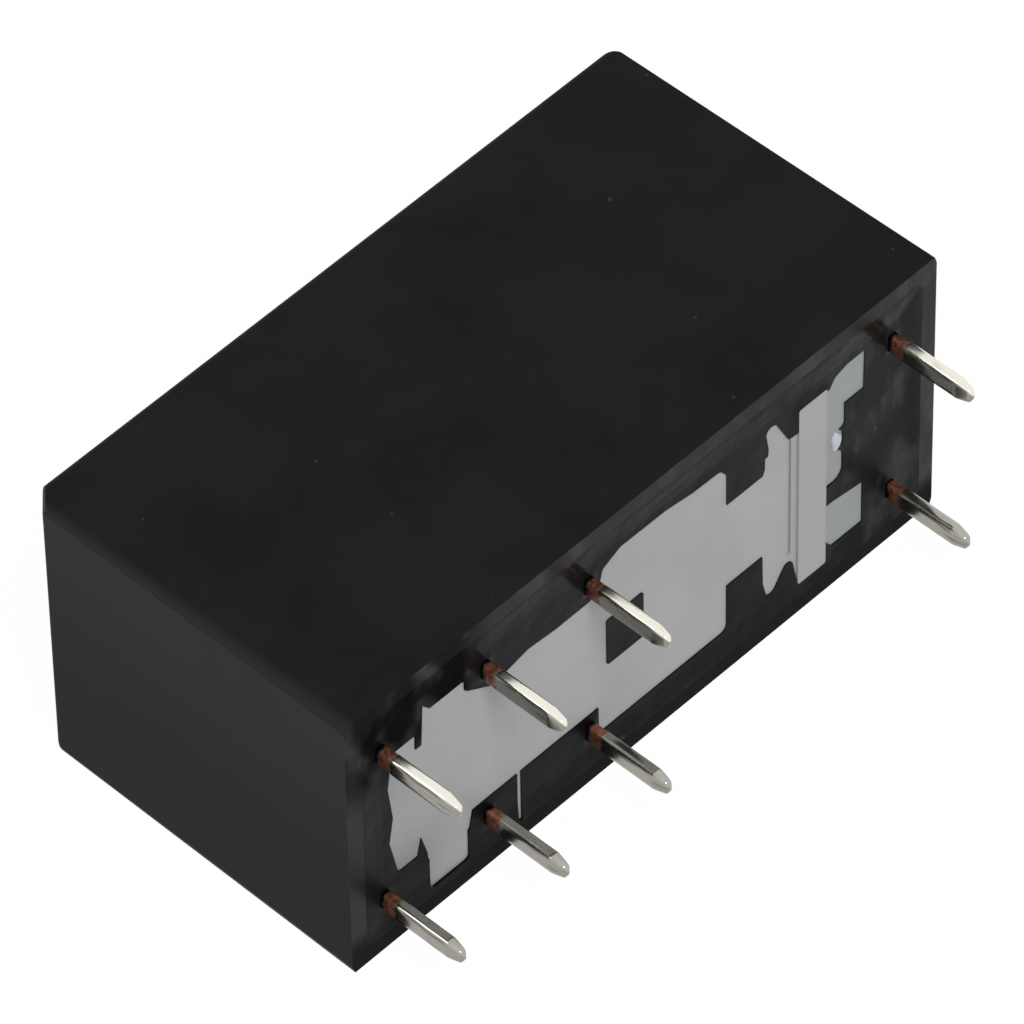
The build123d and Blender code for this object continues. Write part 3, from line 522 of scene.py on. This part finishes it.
def plain_moulding(name, colour):
    """Matte moulded plastic inside the case."""
    f = Finish(name)
    cloud = f.noise(0.002, 3.0, 0.5)
    grain = f.noise(0.0002, 2.0, 0.6)
    rough = (0.5 + 0.1 * cloud).clipped()
    f.surface(f.blend(cloud, toned(colour, 0.9), colour), rough, f.bump(grain, 0.00001, 0.3))
    return f


def bare_metal(name, colour, rough, grain_axis):
    """Rolled or turned metal with fine marks drawn along one axis."""
    f = Finish(name)
    stretch = [1.0, 1.0, 1.0]
    stretch[grain_axis] = 0.06
    marks = f.noise(0.0001, 3.0, 0.6, stretch=tuple(stretch))
    cloud = f.noise(0.0015, 2.0, 0.5)
    tint = f.blend(cloud, toned(colour, 0.82), colour)
    f.surface(tint, (rough + 0.15 * marks).clipped(), f.bump(marks, 0.00001, 0.3), metallic=1.0)
    return f


def wound_wire(colour):
    """Lacquered copper wire wound side by side along the coil, with painted shade in the grooves between
    turns.
    """
    f = Finish("wound_wire")
    turns = f.add("ShaderNodeTexWave", {"wave_type": "BANDS", "bands_direction": "X"}, {
        "Vector": f.place, "Scale": WAVE_BAND / WIRE_PITCH, "Distortion": 0.4, "Detail": 1.0})
    # Painted shade: each turn is darker towards the grooves between turns.
    tint = f.blend(turns, toned(colour, 0.45), colour)
    rough = (0.3 + 0.1 * f.noise(0.001)).clipped()
    f.surface(tint, rough, f.bump(turns, 0.00004, 0.7), metallic=0.85)
    return f


def base_tree():
    """The base's faces as a tree that rays can be sent at."""
    return BVHTree.FromObject(nodes["base"], bpy.context.evaluated_depsgraph_get())


def welded_copy(node):
    """A CAD node's mesh as a bmesh with its split corners joined."""
    made = bmesh.new()
    made.from_mesh(node.data)
    bmesh.ops.remove_doubles(made, verts=made.verts, dist=SAME_POINT)
    return made


def sides_of(loop):
    """Each point of a closed loop with the next one."""
    return zip(loop, loop[1:] + loop[:1])


def loops_at(made, level):
    """Closed outlines, as lists of (x, z), of the flat faces that lie at one height along y."""
    flat = {face for face in made.faces if all(abs(v.co.y - level) < SAME_LEVEL for v in face.verts)}
    edges = [e for e in made.edges if sum(face in flat for face in e.link_faces) == 1]
    neighbours = {}
    for edge in edges:
        a, b = edge.verts
        neighbours.setdefault(a, []).append(b)
        neighbours.setdefault(b, []).append(a)
    loops = []
    left = dict.fromkeys(neighbours)
    while left:
        loop = []
        ahead = [next(iter(left))]
        while ahead:
            here = ahead[0]
            del left[here]
            loop.append(here)
            ahead = [v for v in neighbours[here] if v in left]
        if len(loop) < 3:
            raise RuntimeError("the resin has an outline with fewer than three points")
        loops.append([(v.co.x, v.co.z) for v in loop])
    return loops


def divided(loop, step):
    """The loop with points no further apart than a step."""
    out = []
    for (ax, az), (bx, bz) in sides_of(loop):
        count = max(1, math.ceil(math.hypot(bx - ax, bz - az) / step))
        out += [(ax + (bx - ax) * i / count, az + (bz - az) * i / count) for i in range(count)]
    return out


def inside(points, loops):
    """Which points lie inside an odd number of the loops."""
    x, z = points[:, 0], points[:, 1]
    odd = np.zeros(len(points), bool)
    for loop in loops:
        for (ax, az), (bx, bz) in sides_of(loop):
            if az == bz:
                continue
            crosses = (az > z) != (bz > z)
            odd ^= crosses & (x < (bx - ax) * (z - az) / (bz - az) + ax)
    return odd


def length_of(loop):
    """The way once round a closed loop."""
    return sum(math.hypot(bx - ax, bz - az) for (ax, az), (bx, bz) in sides_of(loop))


def drawn_in(loop, share):
    """The loop shrunk towards its middle."""
    mx = sum(x for x, z in loop) / len(loop)
    mz = sum(z for x, z in loop) / len(loop)
    return [(mx + (x - mx) * share, mz + (z - mz) * share) for x, z in loop]


def plan_tree(places):
    """A tree that finds the nearest of some (x, z) places."""
    tree = KDTree(len(places))
    for i, (x, z) in enumerate(places):
        tree.insert((x, 0.0, z), i)
    tree.balance()
    return tree


def pool_points(loops, step):
    """Grid points inside the pool, clear of its outlines."""
    flat = np.array([p for loop in loops for p in loop])
    low, high = flat.min(0), flat.max(0)
    rows = np.arange(low[1], high[1], step * math.sqrt(3) / 2)
    grid = np.array([(x + (i % 2) * step / 2, z) for i, z in enumerate(rows)
                     for x in np.arange(low[0], high[0], step)])
    grid = grid[inside(grid, loops)]
    tree = plan_tree(flat)
    return [tuple(p) for p in grid if tree.find((p[0], 0.0, p[1]))[2] > step * GRID_GAP]


class Pool:
    """The resin's open surface: its outlines and how high it stands at each point."""

    def __init__(self, sizes):
        made = welded_copy(nodes["sealing_resin"])
        self.level = min(v.co.y for v in made.verts)
        self.underside = max(v.co.y for v in made.verts)
        self.step = sizes.pool_step
        outlines = loops_at(made, self.level)
        made.free()
        rim = max(outlines, key=lambda outline: max(x for x, z in outline) - min(x for x, z in outline))
        base = base_tree()
        self.loops = []
        self.edges = []
        for outline in outlines:
            round_pin = length_of(outline) < PIN_OUTLINE * MM
            loop = divided(drawn_in(outline, PIN_HOLE) if round_pin else outline, self.step)
            for i in range(len(loop)):
                if outline is rim:
                    self.edges.append((-sizes.rim_climb, RIM_REACH * MM))
                elif round_pin:
                    self.edges.append((-sizes.pin_climb, PIN_REACH * MM))
                else:
                    self.edges.append((self.step_at(base, loop, i), MOULDING_REACH * MM))
            self.loops.append(loop)
        self.border = [place for loop in self.loops for place in loop]
        self.tree = plan_tree(self.border)

    def step_at(self, base, loop, i):
        """How the moulding beside an outline's point stands against the resin: below it is positive."""
        x, z = loop[i]
        (ax, az), (bx, bz) = loop[i - 1], loop[(i + 1) % len(loop)]
        along = Vector((bx - ax, bz - az)).normalized()
        for side in (1, -1):
            px = x - along.y * side * BESIDE_EDGE * MM
            pz = z + along.x * side * BESIDE_EDGE * MM
            hit = base.ray_cast(Vector((px, self.level - MM, pz)), INTO_CASE)[0]
            if hit and abs(hit.y - self.level) < LEVEL_WITH * MM:
                return max(-DEEPEST_STEP * MM, hit.y - self.level)
        return 0.0

    def lift(self, index, distance):
        """What an edge's point still adds to the height at a distance from it."""
        edge, reach = self.edges[index]
        return edge * math.exp(-(distance / reach) ** LIFT_POWER)

    def height(self, x, z):
        """The surface's y at a point of the plan."""
        nearest, distance = self.tree.find((x, 0.0, z))[1:]
        lift = self.lift(nearest, distance)
        for _, index, away in self.tree.find_range((x, 0.0, z), LIFT_RANGE * MM):
            lift = min(lift, self.lift(index, away))
        ripple = noise.noise(Vector((x, 0.0, z)) * RIPPLES) * RIPPLE_HEIGHT * MM
        return self.level + lift + ripple * min(1.0, distance / (RIPPLE_START * MM))


def placed(name, mesh, body, finish):
    """Puts a mesh in the scene as a piece that rides on a body and takes its finish from a slot."""
    piece = bpy.data.objects.new(name, mesh)
    bpy.context.scene.collection.objects.link(piece)
    dress(piece, finish)
    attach(piece, body)
    return piece


def smooth_mesh(name, points, faces, hard=()):
    """A mesh with soft shading that breaks only at its hard edges, given as pairs of points."""
    mesh = bpy.data.meshes.new(name)
    mesh.from_pydata(points, [], faces)
    mesh.validate()
    mesh.shade_smooth()
    for edge in mesh.edges:
        edge.use_edge_sharp = frozenset(edge.vertices) in hard
    return mesh


def filled(flat, loops):
    """Points and triangles that fill the plan between closed loops. The loops' points come first in flat."""
    edges = []
    first = 0
    for loop in loops:
        edges += [(first + i, first + (i + 1) % len(loop)) for i in range(len(loop))]
        first += len(loop)
    co, _, faces, _, _, _ = delaunay_2d_cdt([Vector(p) for p in flat], edges, [], 0, SAME_PLAN, True)
    middles = np.array([(sum(co[i].x for i in f) / 3, sum(co[i].y for i in f) / 3) for f in faces])
    keep = inside(middles, loops)
    return [(p.x, p.y) for p in co], [tuple(f) for f, k in zip(faces, keep) if k]


def plan_key(place):
    """A place in the plan as whole numbers, so that equal places can be looked up."""
    return tuple(round(c / SAME_PLAN) for c in place)


def pool_mesh(pool):
    """The resin as a closed body: its open surface, its walls and its flat underside."""
    flat, faces = filled(pool.border + pool_points(pool.loops, pool.step), pool.loops)
    points = [(x, pool.height(x, z), z) for x, z in flat]
    open_edges = {}
    for a, b, c in faces:
        for pair in ((a, b), (b, c), (c, a)):
            key = frozenset(pair)
            open_edges[key] = None if key in open_edges else pair
    walls = [pair for pair in open_edges.values() if pair]
    lower = {}
    for i in sorted({i for pair in walls for i in pair}):
        lower[i] = len(points)
        points.append((flat[i][0], pool.underside, flat[i][1]))
    hard = {frozenset(pair) for pair in walls}
    hard |= {frozenset((lower[a], lower[b])) for a, b in walls}
    faces += [(b, a, lower[a], lower[b]) for a, b in walls]
    under = {plan_key(flat[i]): below for i, below in lower.items()}
    flat_under, faces_under = filled(pool.border, pool.loops)
    order = [under[plan_key(place)] for place in flat_under]
    faces += [(order[c], order[b], order[a]) for a, b, c in faces_under]
    return smooth_mesh("resin_pool", points, faces, hard)


def squared(value):
    """A cosine or sine drawn out, so that a circle becomes a rectangle with soft corners."""
    return math.copysign(abs(value) ** SECTION_POWER, value)


def pin_section():
    """Points round a flat pin with soft edges, as shares of its half sizes along x and z."""
    turns = [math.tau * (i + 0.5) / SECTION_POINTS for i in range(SECTION_POINTS)]
    return [(squared(math.cos(a)), squared(math.sin(a))) for a in turns]


def ways_round(section, half):
    """The way in millimetres to each point of a pin's section, from the ridge beside its top face."""
    ways = [0.0]
    for (ax, az), (bx, bz) in zip(section, section[1:]):
        ways.append(ways[-1] + math.hypot((bx - ax) * half[0], (bz - az) * half[1]) / MM)
    ridge = ways[len(section) * 3 // 8]
    return [way - ridge for way in ways]


def pin_depths(length):
    """Depths of a pin's rings in millimetres, closer together towards the tip."""
    shaft = length - PIN_TIP + PIN_START
    depths = [-PIN_START + shaft * i / SHAFT_RINGS for i in range(SHAFT_RINGS)]
    return depths + [length - PIN_TIP * (1 - i / TIP_RINGS) for i in range(TIP_RINGS + 1)]


def pin_share(depth, length, copper):
    """How wide the pin is at a depth, as shares of its full thickness and width."""
    coated = min(1.0, max(0.0, (depth - copper + COAT_START) / COAT_RUN))
    coat = 1.0 - COAT + COAT * coated
    along = min(1.0, max(0.0, (depth - length + PIN_TIP) / PIN_TIP)) ** TIP_POWER
    nose = max(0.0, (depth - length + PIN_NOSE) / PIN_NOSE)
    close = math.sqrt(1.0 - NOSE_CLOSES * nose * nose)
    return coat * (1.0 - TIP_THINS * along) * close, coat * (1.0 - TIP_NARROWS * along) * close


def uneven(sx, depth, sz, number):
    """The share of its half sizes that a pin keeps at a point of its uneven tin."""
    spot = Vector((sx * UNEVEN_ROUND, depth * UNEVEN_DOWN, sz * UNEVEN_ROUND + number * UNEVEN_APART))
    return 1.0 - UNEVEN * (0.5 + 0.5 * noise.noise(spot * UNEVEN_SCALE))


def cut_terminal(node, root):
    """A terminal as a bmesh that ends above its root, where the drawn pin takes over."""
    made = welded_copy(node)
    parts = made.verts[:] + made.edges[:] + made.faces[:]
    cut = bmesh.ops.bisect_plane(made, geom=parts, plane_co=(0.0, root + PIN_START * MM, 0.0),
                                 plane_no=-INTO_CASE, clear_outer=True)
    bmesh.ops.edgeloop_fill(made, edges=[e for e in cut["geom_cut"] if isinstance(e, bmesh.types.BMEdge)])
    return made


def plated_pin(node, copper, number):
    """A terminal's mesh with its pin redrawn: soft edges, tin below the bare copper and a bullet tip."""
    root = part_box("cover")[0].y
    below = [v.co for v in node.data.vertices if v.co.y < root]
    xs = [p.x for p in below]
    zs = [p.z for p in below]
    middle = ((min(xs) + max(xs)) / 2, (min(zs) + max(zs)) / 2)
    half = ((max(xs) - min(xs)) / 2, (max(zs) - min(zs)) / 2)
    length = (root - min(p.y for p in below)) / MM
    made = cut_terminal(node, root)
    layer = made.verts.layers.float_vector.new("pin_place")
    for vert in made.verts:
        vert[layer] = Vector((0.0, INNER_DEPTH, number * PLACE_APART))
    section = pin_section()
    ways = ways_round(section, half)
    rings = []
    for depth in pin_depths(length):
        share = pin_share(depth, length, copper)
        ring = []
        for (sx, sz), way in zip(section, ways):
            thin = uneven(sx, depth, sz, number)
            vert = made.verts.new((middle[0] + half[0] * sx * share[0] * thin, root - depth * MM,
                                   middle[1] + half[1] * sz * share[1] * thin))
            vert[layer] = Vector((way, depth, number * PLACE_APART))
            ring.append(vert)
        rings.append(ring)
    skin = []
    for upper, lower in zip(rings, rings[1:]):
        for (a, b), (c, d) in zip(sides_of(upper), sides_of(lower)):
            skin.append(made.faces.new((a, b, d, c)))
    start = made.faces.new(rings[0])
    skin.append(made.faces.new(rings[-1]))
    bmesh.ops.recalc_face_normals(made, faces=skin + [start])
    for face in skin:
        face.smooth = True
    mesh = bpy.data.meshes.new(node.name + "_plated")
    made.to_mesh(mesh)
    made.free()
    return mesh


def drop_mesh(radius, x, z):
    """A long drop that stands on the base's boss and is closed under it."""
    hit = base_tree().ray_cast(Vector((x, BELOW_PINS, z)), INTO_CASE)[0]
    if hit is None:
        raise RuntimeError("the glue drop has no base under it")
    foot = hit.y + DROP_SUNK * MM
    points = []
    faces = []
    for k in range(DROP_LEVELS):
        lean = math.pi / 2 * k / DROP_LEVELS
        y = foot - DROP_HEIGHT * radius * math.sin(lean)
        for i in range(DROP_ROUNDS):
            turn = math.tau * i / DROP_ROUNDS
            lobes = 1.0 + 0.09 * math.sin(3 * turn + 1) + 0.05 * math.sin(5 * turn)
            reach = radius * math.cos(lean) * lobes
            points.append((x + DROP_WIDTH * reach * math.cos(turn), y, z + reach * math.sin(turn)))
    rings = [list(range(k * DROP_ROUNDS, (k + 1) * DROP_ROUNDS)) for k in range(DROP_LEVELS)]
    for lower, upper in zip(rings, rings[1:]):
        faces += [(a, b, d, c) for (a, b), (c, d) in zip(sides_of(lower), sides_of(upper))]
    top = len(points)
    points.append((x, foot - DROP_HEIGHT * radius, z))
    faces += [(a, b, top) for a, b in sides_of(rings[-1])]
    faces.append(tuple(reversed(rings[0])))
    return smooth_mesh("glue_drop", points, faces)


class RELAY_OT_stage(bpy.types.Operator):
    """Adds the pale floor, the soft studio lights and the camera"""

    bl_idname = "relay.stage"
    bl_label = "Stage"

    def execute(self, context):
        scene = context.scene
        scene.view_settings.view_transform = "Standard"
        self.floor(scene)
        self.world(scene)
        self.lamps(scene)
        self.camera(scene)
        return {"FINISHED"}

    def floor(self, scene):
        """A wide pale floor, white to the eye, that still takes the relay's shadow."""
        mesh = bpy.data.meshes.new("floor")
        corners = [(-1, -1), (1, -1), (1, 1), (-1, 1)]
        mesh.from_pydata([(x * FLOOR_HALF, y * FLOOR_HALF, 0) for x, y in corners], [], [(0, 1, 2, 3)])
        floor = bpy.data.objects.new("floor", mesh)
        scene.collection.objects.link(floor)
        f = Finish("floor_paper")
        paper = f.blend(f.noise(0.004, 2.0), (0.80, 0.80, 0.80), (0.82, 0.82, 0.82))
        lit = f.add("ShaderNodeBsdfPrincipled", {}, {"Base Color": paper, "Roughness": 0.9})
        glow = f.add("ShaderNodeEmission", {}, {"Color": WHITE, "Strength": 1.0})
        f.close(f.mixed(f.seen_straight() * FLOOR_GLOW, lit, glow))
        dress(floor, f)

    def world(self, scene):
        """White to the eye and in gloss, and a plain level of light on the relay."""
        world = bpy.data.worlds.new("studio")
        scene.world = world
        world.use_nodes = True
        n = Nodes(world.node_tree)
        cast = n.add("ShaderNodeBackground", {}, {"Color": ROOM_LIGHT})
        seen = n.add("ShaderNodeBackground", {}, {"Color": WHITE})
        n.add("ShaderNodeOutputWorld", {}, {"Surface": n.mixed(n.seen_straight(), cast, seen)}, None)

    def lamps(self, scene):
        """A key light over the pin side and a weak fill from the near end."""
        for name, place, power, size in LAMPS:
            lamp = bpy.data.lights.new(name, "AREA")
            lamp.shape = "DISK"
            lamp.size = size
            lamp.energy = power
            holder = bpy.data.objects.new(name, lamp)
            scene.collection.objects.link(holder)
            holder.location = place
            holder.rotation_euler = (-Vector(place)).to_track_quat("-Z", "Y").to_euler()

    def camera(self, scene):
        """A long lens above the near end, on the pin side."""
        camera = bpy.data.cameras.new("camera")
        camera.sensor_width = SENSOR_WIDTH
        camera.lens = LENS
        camera.clip_start = NEAREST
        camera.clip_end = FARTHEST
        holder = bpy.data.objects.new("camera", camera)
        scene.collection.objects.link(holder)
        holder.location = CAMERA_PLACE
        holder.rotation_euler = tuple(math.radians(a) for a in CAMERA_TURN)
        scene.camera = holder


class RELAY_OT_case(bpy.types.Operator):
    """Finishes the black cover"""

    bl_idname = "relay.case"
    bl_label = "Case"

    def execute(self, context):
        colour = tuple(context.scene.relay_finishes.case_colour)
        dress(nodes["cover"], case_plastic(colour, cad_low.x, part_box("cover")[0].y))
        return {"FINISHED"}


class RELAY_OT_base(bpy.types.Operator):
    """Finishes the grey moulded base"""

    bl_idname = "relay.base"
    bl_label = "Base"

    def execute(self, context):
        dress(nodes["base"], base_plastic(tuple(context.scene.relay_finishes.base_colour)))
        return {"FINISHED"}


class RELAY_OT_resin(bpy.types.Operator):
    """Builds the pool of sealing resin, which creeps up the case and the pins"""

    bl_idname = "relay.resin"
    bl_label = "Resin"

    def execute(self, context):
        pool = Pool(context.scene.relay_sizes)
        finish = sealing_black(tuple(context.scene.relay_finishes.resin_colour), cad_high.x)
        dress(nodes["sealing_resin"], finish)
        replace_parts(placed("resin_pool", pool_mesh(pool), "case", finish), "sealing_resin")
        return {"FINISHED"}


class RELAY_OT_pins(bpy.types.Operator):
    """Redraws the eight terminals with tinned pins"""

    bl_idname = "relay.pins"
    bl_label = "Pins"

    def execute(self, context):
        finishes = context.scene.relay_finishes
        copper = context.scene.relay_sizes.copper_length
        finish = tinned_pin(tuple(finishes.tin_colour), tuple(finishes.copper_colour), copper)
        for number, name in enumerate(TERMINALS, 1):
            mesh = plated_pin(nodes[name], copper / MM, number)
            dress(nodes[name], finish)
            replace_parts(placed(name + "_plated", mesh, "case", finish), name)
        return {"FINISHED"}


class RELAY_OT_drop(bpy.types.Operator):
    """Adds the drop of milky glue on the base's boss"""

    bl_idname = "relay.drop"
    bl_label = "Glue drop"

    def execute(self, context):
        finish = milky_glue(GLUE_WHITE)
        mesh = drop_mesh(context.scene.relay_sizes.drop_radius, DROP_X * MM, DROP_Z * MM)
        placed("glue_drop", mesh, "case", finish)
        return {"FINISHED"}


class RELAY_OT_magnet(bpy.types.Operator):
    """Finishes the coil, its bobbin and the iron parts inside"""

    bl_idname = "relay.magnet"
    bl_label = "Magnet"

    def execute(self, context):
        iron = bare_metal("plated_iron", IRON_GREY, 0.28, 1)
        for name in ("core", "yoke", "armature"):
            dress(nodes[name], iron)
        dress(nodes["armature_spring"], bare_metal("spring_steel", STEEL_GREY, 0.22, 0))
        dress(nodes["bobbin"], plain_moulding("bobbin_plastic", BOBBIN_CREAM))
        wire = wound_wire(WIRE_COPPER)
        for name in ("coil_winding", "coil_lead_left", "coil_lead_right"):
            dress(nodes[name], wire)
        return {"FINISHED"}


class RELAY_OT_contacts(bpy.types.Operator):
    """Finishes the contact springs, the contacts and the card inside"""

    bl_idname = "relay.contacts"
    bl_label = "Contacts"

    def execute(self, context):
        copper = bare_metal("spring_copper", SPRING_COPPER, 0.25, 1)
        silver = bare_metal("contact_silver", CONTACT_SILVER, 0.30, 2)
        for side in SIDES:
            dress(nodes["contact_spring_" + side], copper)
            for kind in ("moving", "nc", "no"):
                dress(nodes[kind + "_contact_" + side], silver)
        dress(nodes["actuator_card"], plain_moulding("card_plastic", CARD_CREAM))
        return {"FINISHED"}


STEPS = ("stage", "case", "base", "resin", "pins", "drop", "magnet", "contacts")


class RELAY_PT_sidebar(bpy.types.Panel):
    """Lists the relay's pieces"""

    bl_idname = "RELAY_PT_sidebar"
    bl_label = "Relay"
    bl_space_type = "VIEW_3D"
    bl_region_type = "UI"
    bl_category = "Relay"

    def draw(self, context):
        for step in STEPS:
            self.layout.operator("relay." + step)
        for group in (context.scene.relay_sizes, context.scene.relay_finishes):
            box = self.layout.box()
            for name in group.__annotations__:
                box.prop(group, name)


CLASSES = (RelaySizes, RelayFinishes, RELAY_OT_stage, RELAY_OT_case, RELAY_OT_base, RELAY_OT_resin,
           RELAY_OT_pins, RELAY_OT_drop, RELAY_OT_magnet, RELAY_OT_contacts, RELAY_PT_sidebar)


def register():
    """Makes the tools known and gives the scene its two groups of settings."""
    for each in CLASSES:
        bpy.utils.register_class(each)
    bpy.types.Scene.relay_sizes = bpy.props.PointerProperty(type=RelaySizes)
    bpy.types.Scene.relay_finishes = bpy.props.PointerProperty(type=RelayFinishes)


def unregister():
    """Takes away what register added."""
    del bpy.types.Scene.relay_finishes
    del bpy.types.Scene.relay_sizes
    for each in reversed(CLASSES):
        bpy.utils.unregister_class(each)


def main():
    register()
    for step in STEPS:
        getattr(bpy.ops.relay, step)()


if __name__ == "__main__":
    main()
